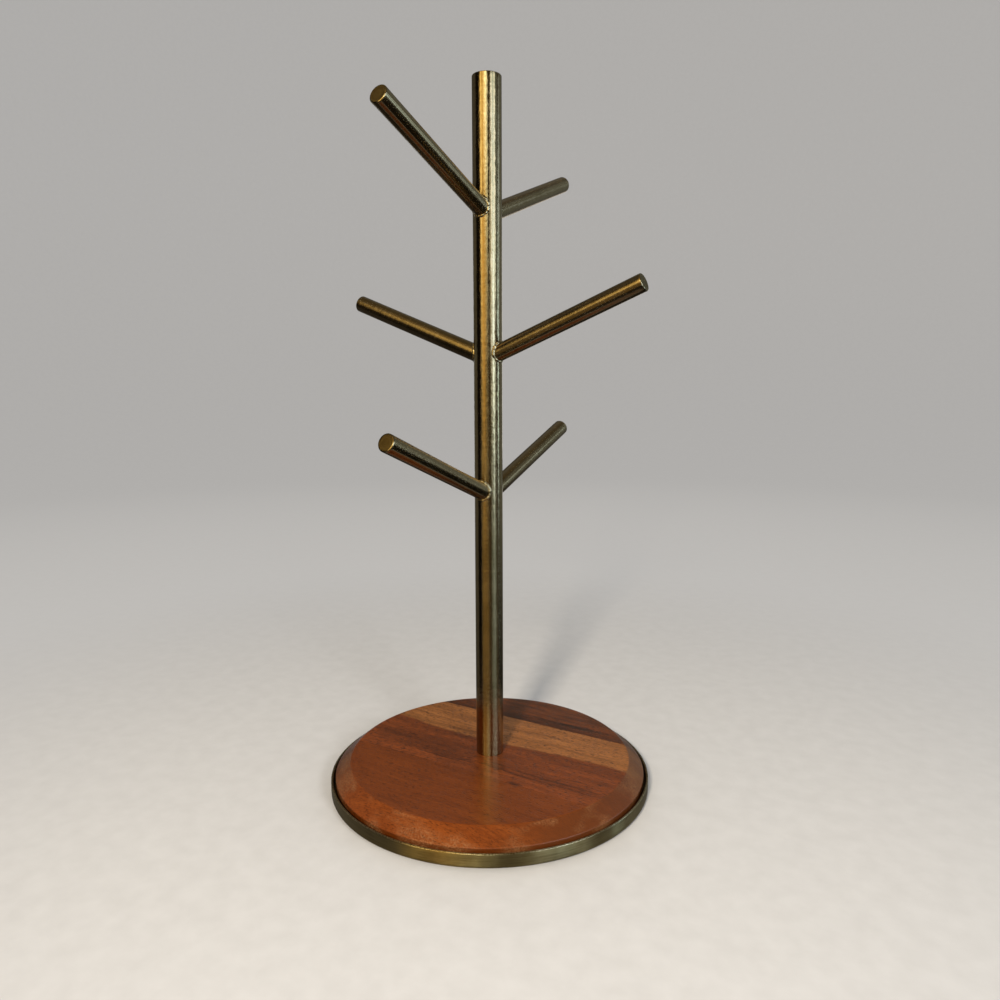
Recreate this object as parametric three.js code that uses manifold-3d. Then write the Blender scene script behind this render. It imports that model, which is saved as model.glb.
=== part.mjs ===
// Mug tree: six straight brass-plated steel rods welded to an upright tube, which is bolted
// through a round, edge-glued wooden base that sits in a shallow pressed steel dish.
//
// Units are millimetres and +Z is up. The origin is on the post's axis, on the surface that
// the foot pads stand on. The middle pair of arms points along X, and the upper and lower
// pairs point along Y. The wood's staves run along X.

import * as THREE from 'three';
import { mergeVertices } from 'three/addons/utils/BufferGeometryUtils.js';
import Module from 'manifold-3d';

const wasm = await Module();
wasm.setup();

// ---------------------------------------------------------------- driving dimensions

const OVERALL_HEIGHT = 395;

const POST_DIAMETER = 15.9;
const POST_WALL = 1.2;
const TOP_CAP_THICKNESS = 3;
const FOOT_NUT_LENGTH = 14;

const ARM_DIAMETER = 9.5;
const ARM_RISE_DEGREES = 21;
const ARM_REACH = 97; // from the post's axis to the tip face, along the arm
const ARM_TIP_ROUND = 0.7;
const LOWEST_TIER_HEIGHT = 171.3; // where the arms' axes cross the post's axis
const TIER_SPACING = 76.5;
const WELD_SIZE = 1.6; // reach of the weld bead from the corner between rod and post

const DISH_DIAMETER = 185.5;
const DISH_DEPTH = 8;
const DISH_SHEET = 1.2;
const DISH_CORNER_RADIUS = 2;
const DISH_RIM_ROUND = 0.25;
const POCKET_DEPTH = 8; // raised pocket in the dish's floor that hides the bolt's head
const POCKET_RADIUS = 10;
const POCKET_DRAFT = 0.6;

const WOOD_DIAMETER = 180.2;
const WOOD_TOP_DIAMETER = 163;
const BEVEL_FOOT_ABOVE_DISH_BASE = 9.6;
const WOOD_TOP_ABOVE_DISH_BASE = 16.6;
const STAVE_JOINTS = [-28.5, 47.5]; // where the glue lines lie along Y

const PAD_DIAMETER = 14;
const PAD_THICKNESS = 1;
const PAD_CIRCLE_RADIUS = 74;

const BOLT_DIAMETER = 6;
const BOLT_LENGTH = 25;
const BOLT_HEAD_DIAMETER = 10.5;
const BOLT_HEAD_HEIGHT = 3.3;
const BOLT_HEAD_ROUND = 1.1;
const HEX_KEY_ACROSS_FLATS = 4;
const HEX_SOCKET_DEPTH = 2;
const FLAT_WASHER_DIAMETER = 18;
const SPRING_WASHER_DIAMETER = 11;
const SPRING_WASHER_SLOT = 1;
const WASHER_THICKNESS = 1.6;
const BOLT_CLEARANCE = 0.3;

const GAP = 0.3; // clearance between pieces that touch

// ---------------------------------------------------------------- derived dimensions

const POST_RADIUS = POST_DIAMETER / 2;
const ARM_RADIUS = ARM_DIAMETER / 2;
const ARM_RISE = THREE.MathUtils.degToRad(ARM_RISE_DEGREES);
const TUBE_BORE_RADIUS = POST_RADIUS - POST_WALL;
const BOLT_HOLE_RADIUS = BOLT_DIAMETER / 2 + BOLT_CLEARANCE;

const DISH_BASE_Z = PAD_THICKNESS + GAP;
const DISH_FLOOR_TOP_Z = DISH_BASE_Z + DISH_SHEET;
const POCKET_CEILING_Z = DISH_BASE_Z + POCKET_DEPTH;
const WOOD_BASE_Z = DISH_FLOOR_TOP_Z + GAP;
const BEVEL_FOOT_Z = DISH_BASE_Z + BEVEL_FOOT_ABOVE_DISH_BASE;
const WOOD_TOP_Z = DISH_BASE_Z + WOOD_TOP_ABOVE_DISH_BASE;
const POST_BASE_Z = WOOD_TOP_Z + GAP;

const FLAT_WASHER_Z = POCKET_CEILING_Z - GAP - WASHER_THICKNESS;
const SPRING_WASHER_Z = FLAT_WASHER_Z - GAP - WASHER_THICKNESS;
const BOLT_BEARING_Z = SPRING_WASHER_Z - GAP;

// Facet counts: more sides on the large round pieces, fewer on the small ones.
const DISH_SIDES = 80;
const POST_SIDES = 48;
const ARM_SIDES = 32;
const SMALL_SIDES = 24;
const WELD_STEPS = 28;
const WELD_SECTION_SIDES = 8;
const CORNER_STEPS = 3;

// ---------------------------------------------------------------- materials

const brushedBrass = () =>
  new THREE.MeshStandardMaterial({ color: 0x9a7b45, roughness: 0.34, metalness: 1 });
const weldBrass = () =>
  new THREE.MeshStandardMaterial({ color: 0xa8895a, roughness: 0.45, metalness: 1 });
const zincSteel = () =>
  new THREE.MeshStandardMaterial({ color: 0xb4b6b8, roughness: 0.42, metalness: 1 });
const blackRubber = () =>
  new THREE.MeshStandardMaterial({ color: 0x1c1c1c, roughness: 0.85, metalness: 0 });
const wood = (color) =>
  new THREE.MeshStandardMaterial({ color, roughness: 0.4, metalness: 0 });

// ---------------------------------------------------------------- solid helpers

// Turns a closed three.js geometry into a manifold solid.
function toSolid(geometry) {
  const bare = geometry.clone();
  bare.deleteAttribute('normal');
  bare.deleteAttribute('uv');
  const merged = mergeVertices(bare);
  const vertProperties = Float32Array.from(merged.attributes.position.array);
  const triVerts = Uint32Array.from(merged.index.array);
  return new wasm.Manifold(new wasm.Mesh({ numProp: 3, vertProperties, triVerts }));
}

// Turns a manifold solid back into a three.js geometry.
function toGeometry(solid) {
  const mesh = solid.getMesh();
  const geometry = new THREE.BufferGeometry();
  const positions = Float32Array.from(mesh.vertProperties);
  geometry.setAttribute('position', new THREE.BufferAttribute(positions, 3));
  geometry.setIndex(Array.from(mesh.triVerts));
  geometry.computeVertexNormals();
  return geometry;
}

// Spins a profile of [radius, z] points around the Z axis. The profile runs so that
// the material is on its left, and it starts and ends on the axis or closes on itself.
function turned(profile, sides) {
  const points = profile.map(([radius, z]) => new THREE.Vector2(radius, z));
  const geometry = new THREE.LatheGeometry(points, sides);
  geometry.rotateX(Math.PI / 2);
  return geometry;
}

// A plain disc or cylinder standing on the height z.
function disc(radius, z, height, sides) {
  return turned([[0, z], [radius, z], [radius, z + height], [0, z + height]], sides);
}

// A flat ring standing on the height z.
function ring(innerRadius, outerRadius, z, height, sides) {
  const profile = [
    [innerRadius, z],
    [outerRadius, z],
    [outerRadius, z + height],
    [innerRadius, z + height],
    [innerRadius, z],
  ];
  return turned(profile, sides);
}

// Points of a quarter-round corner, from one angle to another, both ends included.
function cornerArc(centreRadius, centreZ, radius, fromDegrees, toDegrees, steps) {
  const points = [];
  for (let i = 0; i <= steps; i += 1) {
    const degrees = fromDegrees + ((toDegrees - fromDegrees) * i) / steps;
    const angle = THREE.MathUtils.degToRad(degrees);
    points.push([centreRadius + radius * Math.cos(angle), centreZ + radius * Math.sin(angle)]);
  }
  return points;
}

function addPiece(group, name, geometry, material) {
  const mesh = new THREE.Mesh(geometry, material);
  mesh.name = name;
  group.add(mesh);
  return mesh;
}

// ---------------------------------------------------------------- base

// The pressed dish: a flat floor with a raised pocket in the middle, a rounded bottom
// corner and a short upright wall.
function dishGeometry() {
  const outer = DISH_DIAMETER / 2;
  const inner = outer - DISH_SHEET;
  const rimZ = DISH_BASE_Z + DISH_DEPTH;
  const insideCorner = DISH_CORNER_RADIUS - DISH_SHEET;
  const cornerZ = DISH_BASE_Z + DISH_CORNER_RADIUS;
  const profile = [
    [BOLT_HOLE_RADIUS, POCKET_CEILING_Z],
    [POCKET_RADIUS - POCKET_DRAFT, POCKET_CEILING_Z],
    [POCKET_RADIUS, DISH_BASE_Z],
    ...cornerArc(outer - DISH_CORNER_RADIUS, cornerZ, DISH_CORNER_RADIUS, -90, 0, CORNER_STEPS),
    [outer, rimZ - DISH_RIM_ROUND],
    [outer - DISH_RIM_ROUND, rimZ],
    [inner + DISH_RIM_ROUND, rimZ],
    [inner, rimZ - DISH_RIM_ROUND],
    ...cornerArc(outer - DISH_CORNER_RADIUS, cornerZ, insideCorner, 0, -90, CORNER_STEPS),
    [POCKET_RADIUS + DISH_SHEET, DISH_FLOOR_TOP_Z],
    [POCKET_RADIUS + DISH_SHEET - POCKET_DRAFT, POCKET_CEILING_Z + DISH_SHEET],
    [BOLT_HOLE_RADIUS, POCKET_CEILING_Z + DISH_SHEET],
    [BOLT_HOLE_RADIUS, POCKET_CEILING_Z],
  ];
  return turned(profile, DISH_SIDES);
}

// The whole wooden disc: an upright lower edge, a broad bevel, a flat top, a counterbore
// underneath that clears the dish's pocket, and a hole for the bolt.
function woodDiscSolid() {
  const outline = [
    [0, WOOD_BASE_Z],
    [WOOD_DIAMETER / 2, WOOD_BASE_Z],
    [WOOD_DIAMETER / 2, BEVEL_FOOT_Z],
    [WOOD_TOP_DIAMETER / 2, WOOD_TOP_Z],
    [0, WOOD_TOP_Z],
  ];
  const counterboreRadius = POCKET_RADIUS + DISH_SHEET + GAP;
  const counterboreTop = POCKET_CEILING_Z + DISH_SHEET + GAP;
  const counterbore = disc(counterboreRadius, 0, counterboreTop, SMALL_SIDES);
  const boltHole = disc(BOLT_HOLE_RADIUS, 0, OVERALL_HEIGHT, SMALL_SIDES);
  return toSolid(turned(outline, DISH_SIDES))
    .subtract(toSolid(counterbore))
    .subtract(toSolid(boltHole));
}

// One stave of the disc, between two planes across Y.
function staveGeometry(discSolid, fromY, toY) {
  const slab = new THREE.BoxGeometry(2 * WOOD_DIAMETER, toY - fromY, 4 * WOOD_TOP_Z);
  slab.translate(0, (fromY + toY) / 2, 0);
  return toGeometry(discSolid.intersect(toSolid(slab)));
}

function addBase(group) {
  addPiece(group, 'base_dish', dishGeometry(), brushedBrass());

  const discSolid = woodDiscSolid();
  const edges = [-WOOD_DIAMETER, ...STAVE_JOINTS, WOOD_DIAMETER];
  const staves = [
    ['wood_stave_front', 0x7c4526],
    ['wood_stave_centre', 0x6e3a20],
    ['wood_stave_back', 0x573121],
  ];
  staves.forEach(([name, color], i) => {
    const geometry = staveGeometry(discSolid, edges[i] + GAP / 2, edges[i + 1] - GAP / 2);
    addPiece(group, name, geometry, wood(color));
  });

  const padNames = ['back_right', 'back_left', 'front_left', 'front_right'];
  padNames.forEach((place, i) => {
    const angle = Math.PI / 4 + (i * Math.PI) / 2;
    const geometry = disc(PAD_DIAMETER / 2, 0, PAD_THICKNESS, SMALL_SIDES);
    const pad = addPiece(group, `foot_pad_${place}`, geometry, blackRubber());
    pad.position.set(PAD_CIRCLE_RADIUS * Math.cos(angle), PAD_CIRCLE_RADIUS * Math.sin(angle), 0);
  });
}

// ---------------------------------------------------------------- clamp bolt

// A button-head bolt with a hexagon socket, its shank plain at the thread's diameter.
function boltGeometry() {
  const headRadius = BOLT_HEAD_DIAMETER / 2;
  const headBottomZ = BOLT_BEARING_Z - BOLT_HEAD_HEIGHT;
  const shankRadius = BOLT_DIAMETER / 2;
  const shankTopZ = BOLT_BEARING_Z + BOLT_LENGTH;
  const profile = [
    [0, headBottomZ],
    [headRadius - 2 * BOLT_HEAD_ROUND, headBottomZ],
    [headRadius - BOLT_HEAD_ROUND / 2, headBottomZ + BOLT_HEAD_ROUND],
    [headRadius, headBottomZ + 2 * BOLT_HEAD_ROUND],
    [headRadius, BOLT_BEARING_Z],
    [shankRadius, BOLT_BEARING_Z],
    [shankRadius, shankTopZ - BOLT_DIAMETER / 8],
    [shankRadius - BOLT_DIAMETER / 8, shankTopZ],
    [0, shankTopZ],
  ];
  const socketRadius = HEX_KEY_ACROSS_FLATS / Math.sqrt(3);
  const socket = disc(socketRadius, 0, headBottomZ + HEX_SOCKET_DEPTH, 6);
  return toGeometry(toSolid(turned(profile, SMALL_SIDES)).subtract(toSolid(socket)));
}

// A split spring washer, drawn flat as it lies when tightened.
function springWasherGeometry() {
  const blank = ring(
    BOLT_HOLE_RADIUS,
    SPRING_WASHER_DIAMETER / 2,
    SPRING_WASHER_Z,
    WASHER_THICKNESS,
    SMALL_SIDES,
  );
  const slot = new THREE.BoxGeometry(
    SPRING_WASHER_SLOT,
    SPRING_WASHER_DIAMETER,
    4 * WASHER_THICKNESS,
  );
  slot.translate(0, SPRING_WASHER_DIAMETER / 2, SPRING_WASHER_Z);
  return toGeometry(toSolid(blank).subtract(toSolid(slot)));
}

function addClampBolt(group) {
  const flatWasher = ring(
    BOLT_HOLE_RADIUS,
    FLAT_WASHER_DIAMETER / 2,
    FLAT_WASHER_Z,
    WASHER_THICKNESS,
    SMALL_SIDES,
  );
  addPiece(group, 'clamp_bolt', boltGeometry(), zincSteel());
  addPiece(group, 'spring_washer', springWasherGeometry(), zincSteel());
  addPiece(group, 'flat_washer', flatWasher, zincSteel());
}

// ---------------------------------------------------------------- post

function addPost(group) {
  const tubeLength = OVERALL_HEIGHT - POST_BASE_Z;
  const tube = ring(TUBE_BORE_RADIUS, POST_RADIUS, POST_BASE_Z, tubeLength, POST_SIDES);
  addPiece(group, 'post_tube', tube, brushedBrass());

  const plugRadius = TUBE_BORE_RADIUS - GAP;
  const capZ = OVERALL_HEIGHT - TOP_CAP_THICKNESS;
  const cap = disc(plugRadius, capZ, TOP_CAP_THICKNESS, POST_SIDES);
  addPiece(group, 'post_top_cap', cap, brushedBrass());

  const nut = ring(BOLT_HOLE_RADIUS, plugRadius, POST_BASE_Z, FOOT_NUT_LENGTH, POST_SIDES);
  addPiece(group, 'post_foot_nut', nut, zincSteel());
}

// ---------------------------------------------------------------- arms

// Arms and welds are drawn with the post's axis on Z, the arm's axis leaving the origin
// towards +X and rising, and are then turned and lifted to their places.

// A solid of the rod, or of a slightly fatter copy of it used as a cutter.
function rodSolid(radius, reach, tipRound) {
  const profile = [
    [0, 0],
    [radius, 0],
    ...cornerArc(radius - tipRound, reach - tipRound, tipRound, 0, 90, CORNER_STEPS),
    [0, reach],
  ];
  const rod = turned(profile, ARM_SIDES);
  rod.rotateY(Math.PI / 2 - ARM_RISE);
  return toSolid(rod);
}

// A cutter the size of the post, a gap larger all round.
function postCutter() {
  return toSolid(disc(POST_RADIUS + GAP, -ARM_REACH, 2 * ARM_REACH, POST_SIDES));
}

// The rod, coped at its root to fit around the post.
function armGeometry() {
  const rod = rodSolid(ARM_RADIUS, ARM_REACH, ARM_TIP_ROUND);
  return toGeometry(rod.subtract(postCutter()));
}

// A point on the line where the rod's surface meets the post's surface.
function seamPoint(angle) {
  const across = ARM_RADIUS * Math.cos(angle);
  const above = ARM_RADIUS * Math.sin(angle);
  const outward = Math.sqrt(POST_RADIUS ** 2 - across ** 2);
  const along = (outward + above * Math.sin(ARM_RISE)) / Math.cos(ARM_RISE);
  const height = along * Math.sin(ARM_RISE) + above * Math.cos(ARM_RISE);
  return new THREE.Vector3(outward, across, height);
}

// A weld bead: a round bead bent along the seam, less the rod and the post inside it.
function weldGeometry() {
  const bead = new THREE.TorusGeometry(1, WELD_SIZE, WELD_SECTION_SIDES, WELD_STEPS);
  const positions = bead.attributes.position;
  const step = Math.PI / WELD_STEPS;
  for (let i = 0; i < positions.count; i += 1) {
    const ringIndex = i % (WELD_STEPS + 1);
    const sectionIndex = Math.floor(i / (WELD_STEPS + 1));
    const around = ((ringIndex % WELD_STEPS) * 2 * Math.PI) / WELD_STEPS;
    const turn = ((sectionIndex % WELD_SECTION_SIDES) * 2 * Math.PI) / WELD_SECTION_SIDES;
    const centre = seamPoint(around);
    const forward = seamPoint(around + step).sub(seamPoint(around - step)).normalize();
    const outOfPost = new THREE.Vector3(centre.x, centre.y, 0).normalize();
    const side = new THREE.Vector3().crossVectors(outOfPost, forward).normalize();
    const out = new THREE.Vector3().crossVectors(forward, side);
    centre.addScaledVector(out, WELD_SIZE * Math.cos(turn));
    centre.addScaledVector(side, WELD_SIZE * Math.sin(turn));
    positions.setXYZ(i, centre.x, centre.y, centre.z);
  }
  const fatRod = rodSolid(ARM_RADIUS + GAP, ARM_REACH, ARM_TIP_ROUND);
  return toGeometry(toSolid(bead).subtract(fatRod).subtract(postCutter()));
}

function addArms(group) {
  const arm = armGeometry();
  const weld = weldGeometry();
  const alongX = [['right', 0], ['left', 180]];
  const alongY = [['back', 90], ['front', -90]];
  const tiers = [['lower', alongY], ['middle', alongX], ['upper', alongY]];
  tiers.forEach(([tierName, sides], tierIndex) => {
    const tier = new THREE.Group();
    tier.position.z = LOWEST_TIER_HEIGHT + tierIndex * TIER_SPACING;
    sides.forEach(([sideName, degrees]) => {
      const turn = THREE.MathUtils.degToRad(degrees);
      addPiece(tier, `arm_${tierName}_${sideName}`, arm, brushedBrass()).rotation.z = turn;
      addPiece(tier, `weld_${tierName}_${sideName}`, weld, weldBrass()).rotation.z = turn;
    });
    group.add(tier);
  });
}

// ---------------------------------------------------------------- assembly

const mugTree = new THREE.Group();
addBase(mugTree);
addClampBolt(mugTree);
addPost(mugTree);
addArms(mugTree);

export default mugTree;
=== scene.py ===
"""Looks for the mug tree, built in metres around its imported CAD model.

The origin is on the post's axis at the surface that the foot pads stand on, and +Z is up.
The middle arms and the wood's grain run along X, and the other two pairs of arms along Y.
Every visible piece is modelled here at a finer grain than its CAD node, which it replaces.
"""

import math
import random

import bmesh
import bpy
from mathutils import Matrix, Vector, noise


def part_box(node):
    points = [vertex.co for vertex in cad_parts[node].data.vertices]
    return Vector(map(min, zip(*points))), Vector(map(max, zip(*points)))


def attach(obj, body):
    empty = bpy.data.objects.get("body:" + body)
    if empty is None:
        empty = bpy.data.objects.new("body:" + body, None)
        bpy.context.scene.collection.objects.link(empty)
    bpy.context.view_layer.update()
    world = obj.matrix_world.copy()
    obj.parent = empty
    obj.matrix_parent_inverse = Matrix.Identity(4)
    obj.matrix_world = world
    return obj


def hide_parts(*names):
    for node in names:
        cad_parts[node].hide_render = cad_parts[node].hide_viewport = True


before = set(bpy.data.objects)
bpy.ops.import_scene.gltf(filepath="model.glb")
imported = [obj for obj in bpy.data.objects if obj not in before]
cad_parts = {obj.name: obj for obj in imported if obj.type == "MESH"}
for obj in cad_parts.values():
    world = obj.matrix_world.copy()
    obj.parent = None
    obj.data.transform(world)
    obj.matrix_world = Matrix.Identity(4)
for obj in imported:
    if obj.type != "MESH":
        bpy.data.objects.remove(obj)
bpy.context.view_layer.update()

MM = 0.001

# ---------------------------------------------------------------- sizes, in metres

ARM_RISE = math.radians(21)
ARM_REACH = 97 * MM  # from the post's axis to the tip face, along the arm
ARM_TIP_ROUND = 0.7 * MM
LOWEST_TIER = 171.3 * MM
TIER_SPACING = 76.5 * MM

POST_TOP_ROUND = 0.35 * MM
CAP_INSET = 0.03 * MM  # how far the cap lies below the tube's end

DISH_SHEET = 1.2 * MM
DISH_CORNER = 2.0 * MM
POCKET_RADIUS = 10 * MM
POCKET_DRAFT = 0.6 * MM
POCKET_CLEARANCE = 0.3 * MM  # between the pocket and the wood over it

SEAM = 0.02 * MM  # half the width of the glue line between two staves
TOP_ARRIS_ROUND = 0.9 * MM
BEVEL_FOOT_ROUND = 0.7 * MM
WOOD_FOOT_ROUND = 0.4 * MM

WELD_RADIUS = 1.25 * MM
WELD_LUMP = 0.30 * MM
WELD_LUMP_WIDTH = 1.3 * MM
WELD_SUNK = 0.25 * MM  # how far the middle of a bead lies under the seam
BOLT_PITCH = 1.0 * MM
THREAD_DEPTH = 0.55 * MM
BOLT_END_CHAMFER = 0.75 * MM

CAMERA_DISTANCE = 443.7 * MM  # from the post's axis, level
CAMERA_HEIGHT = 229.3 * MM
CAMERA_AZIMUTH = 31.84
CAMERA_HEADING = 31.01
CAMERA_PITCH = -7.83
CAMERA_ROLL = -0.17
CAMERA_LENS = 28.33  # on a 36 mm sensor

# ---------------------------------------------------------------- reading the frame


def rim(node, height=None, tolerance=0.02 * MM):
    """The largest distance from the post's axis among a node's vertices, at one height or at any."""
    points = [v.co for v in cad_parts[node].data.vertices]
    if height is not None:
        points = [p for p in points if abs(p.z - height) < tolerance]
    return max(math.hypot(p.x, p.y) for p in points)


def highest_at_rim(node, radius, tolerance=0.1 * MM):
    """The greatest height at which a node still reaches that radius."""
    points = [v.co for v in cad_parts[node].data.vertices]
    return max(p.z for p in points if math.hypot(p.x, p.y) > radius - tolerance)


POST_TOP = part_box("post_tube")[1].z
POST_RADIUS = rim("post_tube")
BORE_RADIUS = min(math.hypot(v.co.x, v.co.y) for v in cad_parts["post_tube"].data.vertices)

DISH_RADIUS = rim("base_dish")
DISH_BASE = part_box("base_dish")[0].z
DISH_RIM = highest_at_rim("base_dish", DISH_RADIUS - DISH_SHEET)
POCKET_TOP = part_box("base_dish")[1].z

WOOD_BASE, WOOD_TOP = (corner.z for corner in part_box("wood_stave_front"))
WOOD_RADIUS = rim("wood_stave_front")
WOOD_TOP_RADIUS = rim("wood_stave_front", WOOD_TOP)
BEVEL_FOOT = highest_at_rim("wood_stave_front", WOOD_RADIUS)
FRONT_JOINT = (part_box("wood_stave_front")[1].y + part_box("wood_stave_centre")[0].y) / 2
BACK_JOINT = (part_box("wood_stave_centre")[1].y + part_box("wood_stave_back")[0].y) / 2

BOLT_LOW, BOLT_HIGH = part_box("clamp_bolt")
BOLT_HEAD_RADIUS = rim("clamp_bolt")
BOLT_RADIUS = rim("clamp_bolt", BOLT_HIGH.z) + BOLT_END_CHAMFER
BOLT_HOLE = min(math.hypot(v.co.x, v.co.y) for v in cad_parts["flat_washer"].data.vertices)

ARM_RADIUS = (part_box("arm_upper_front")[1].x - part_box("arm_upper_front")[0].x) / 2

# ---------------------------------------------------------------- mesh helpers


def arc(centre_r, centre_z, radius, start, end, steps):
    """Points (r, z) on a round corner from one angle to another, in degrees."""
    points = []
    for i in range(steps + 1):
        angle = math.radians(start + (end - start) * i / steps)
        points.append((centre_r + radius * math.cos(angle), centre_z + radius * math.sin(angle)))
    return points


def fillet(before, corner, after, radius, steps=5):
    """Points that round off the corner of an (r, z) outline."""
    b, c, a = (Vector(p) for p in (before, corner, after))
    to_b, to_a = (b - c).normalized(), (a - c).normalized()
    half = to_b.angle(to_a) / 2
    centre = c + (to_b + to_a).normalized() * (radius / math.sin(half))
    first = c + to_b * (radius / math.tan(half)) - centre
    last = c + to_a * (radius / math.tan(half)) - centre
    turn = first.angle_signed(last)
    points = []
    for i in range(steps + 1):
        angle = -turn * i / steps
        cos, sin = math.cos(angle), math.sin(angle)
        points.append((
            centre.x + first.x * cos - first.y * sin,
            centre.y + first.x * sin + first.y * cos,
        ))
    return points


def skin(name, rings, loop=False, slots=None, wear=None, brush=None):
    """A mesh through rings of points, one after another. A ring of one point is a pole.

    The UV map's U runs along the rings and its V round each of them. "brush" is a vector in
    millimetres that the metal's texture reads, and "wear" is from 0 to 1.
    """
    starts, points = [], []
    for ring in rings:
        starts.append(len(points))
        points.extend(ring)
    pairs = list(zip(range(len(rings) - 1), range(1, len(rings)), strict=True))
    if loop:
        pairs.append((len(rings) - 1, 0))
    faces, uvs, face_slots = [], [], []
    for low, high in pairs:
        sides = max(len(rings[low]), len(rings[high]))
        u0, u1 = low / len(rings), (low + 1) / len(rings)
        for j in range(sides):
            k = (j + 1) % sides
            v0, v1 = j / sides, (j + 1) / sides
            corners = []
            around = ((low, j, u0, v0), (low, k, u0, v1), (high, k, u1, v1), (high, j, u1, v0))
            for ring, at, u, v in around:
                pole = len(rings[ring]) == 1
                index = starts[ring] + (0 if pole else at)
                if all(index != c[0] for c in corners):
                    corners.append((index, (u, (v0 + v1) / 2 if pole else v)))
            faces.append([c[0] for c in corners])
            uvs.extend(c[1] for c in corners)
            face_slots.append(slots[low] if slots else 0)
    mesh = bpy.data.meshes.new(name)
    mesh.from_pydata([tuple(p) for p in points], [], faces)
    layer = mesh.uv_layers.new(name="UVMap")
    for corner, uv in zip(layer.data, uvs, strict=True):
        corner.uv = uv
    for polygon, slot in zip(mesh.polygons, face_slots, strict=True):
        polygon.material_index = slot
    set_attribute(mesh, "brush", "FLOAT_VECTOR", brush or [p / MM for p in points])
    set_attribute(mesh, "wear", "FLOAT", wear or [0.0] * len(points))
    return mesh


def set_attribute(mesh, name, kind, values):
    """Stores one value for each vertex under a name that a material can read."""
    attribute = mesh.attributes.new(name, kind, "POINT")
    if kind == "FLOAT_VECTOR":
        attribute.data.foreach_set("vector", [x for value in values for x in value])
    else:
        attribute.data.foreach_set("value", values)


def place(name, mesh, materials, node, sharp_degrees=35):
    """Adds a mesh as a piece that stands for one CAD node and rides with the body."""
    mesh.shade_smooth()
    mesh.set_sharp_from_angle(angle=math.radians(sharp_degrees))
    for material in materials:
        mesh.materials.append(material)
    piece = bpy.data.objects.new(name, mesh)
    bpy.context.scene.collection.objects.link(piece)
    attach(piece, "root")
    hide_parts(node)
    return piece


def circle(radius, z, sides):
    """Points round the Z axis, or the one point on it when the radius is 0."""
    if radius == 0:
        return [Vector((0, 0, z))]
    step = 2 * math.pi / sides
    return [Vector((radius * math.cos(i * step), radius * math.sin(i * step), z)) for i in range(sides)]


def turned(name, outline, sides, loop=True, worn=()):
    """A mesh spun from an (r, z) outline round the Z axis. Points in worn are polished by use.

    The texture's third coordinate is the distance along the outline, so that fine lines run
    round the piece on its upright and its level faces alike.
    """
    rings = [circle(r, z, sides) for r, z in outline]
    travelled, brush, wear = 0.0, [], []
    for i, ring in enumerate(rings):
        if i:
            travelled += math.dist(outline[i], outline[i - 1])
        brush.extend((p.x / MM, p.y / MM, travelled / MM) for p in ring)
        wear.extend([1.0 if i in worn else 0.0] * len(ring))
    return skin(name, rings, loop, wear=wear, brush=brush)


# ---------------------------------------------------------------- node helpers


class Graph:
    """Short calls that add shader nodes to one tree and link them."""

    def __init__(self, tree):
        self.tree = tree
        tree.nodes.clear()

    def node(self, kind, inputs=None, **settings):
        made = self.tree.nodes.new("ShaderNode" + kind)
        for name, value in settings.items():
            setattr(made, name, value)
        for name, value in (inputs or {}).items():
            self.feed(made.inputs[name], value)
        return made

    def feed(self, socket, value):
        if isinstance(value, bpy.types.NodeSocket):
            self.tree.links.new(value, socket)
        else:
            socket.default_value = value

    def math(self, operation, a, b=0.0):
        return self.node("Math", {0: a, 1: b}, operation=operation).outputs[0]

    def scaled(self, vector, factors):
        return self.node("VectorMath", {0: vector, 1: factors}, operation="MULTIPLY").outputs[0]

    def moved(self, vector, offset):
        return self.node("VectorMath", {0: vector, 1: offset}, operation="ADD").outputs[0]

    def length(self, vector):
        return self.node("VectorMath", {0: vector}, operation="LENGTH").outputs["Value"]

    def noise(self, vector, scale=1.0, detail=2.0, roughness=0.5, distortion=0.0):
        inputs = {
            "Vector": vector, "Scale": scale, "Detail": detail,
            "Roughness": roughness, "Distortion": distortion,
        }
        return self.node("TexNoise", inputs).outputs["Fac"]

    def attribute(self, name, output="Vector"):
        return self.node("Attribute", attribute_name=name).outputs[output]

    def split(self, vector):
        return tuple(self.node("SeparateXYZ", {0: vector}).outputs)

    def joined(self, x, y, z):
        return self.node("CombineXYZ", {0: x, 1: y, 2: z}).outputs[0]

    def band(self, value, low, high, start=0.0, end=1.0):
        """Goes smoothly from start to end as value goes from low to high."""
        inputs = {0: value, 1: low, 2: high, 3: start, 4: end}
        return self.node("MapRange", inputs, interpolation_type="SMOOTHSTEP").outputs[0]

    def ramp(self, value, stops):
        """A colour that changes along value. Each stop is a position and a colour."""
        made = self.node("ValToRGB", {0: value})
        elements = made.color_ramp.elements
        while len(elements) < len(stops):
            elements.new(0.5)
        for element, (position, colour) in zip(elements, stops, strict=True):
            element.position = position
            element.color = (*colour, 1)
        return made.outputs[0]

    def mix(self, factor, a, b):
        made = self.node("Mix", data_type="RGBA")
        for index, value in ((0, factor), (6, a), (7, b)):
            if isinstance(value, tuple):
                value = (*value, 1)
            self.feed(made.inputs[index], value)
        return made.outputs[2]

    def bump(self, height, distance):
        inputs = {"Height": height, "Distance": distance, "Strength": 1.0}
        return self.node("Bump", inputs).outputs[0]

    def finish(self, surface, kind="OutputMaterial"):
        self.tree.links.new(surface, self.node(kind).inputs["Surface"])


def material(name):
    """A new material with an empty node tree, and the Graph that fills it."""
    made = bpy.data.materials.new(name)
    made.use_nodes = True
    return made, Graph(made.node_tree)


# ---------------------------------------------------------------- brass

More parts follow.
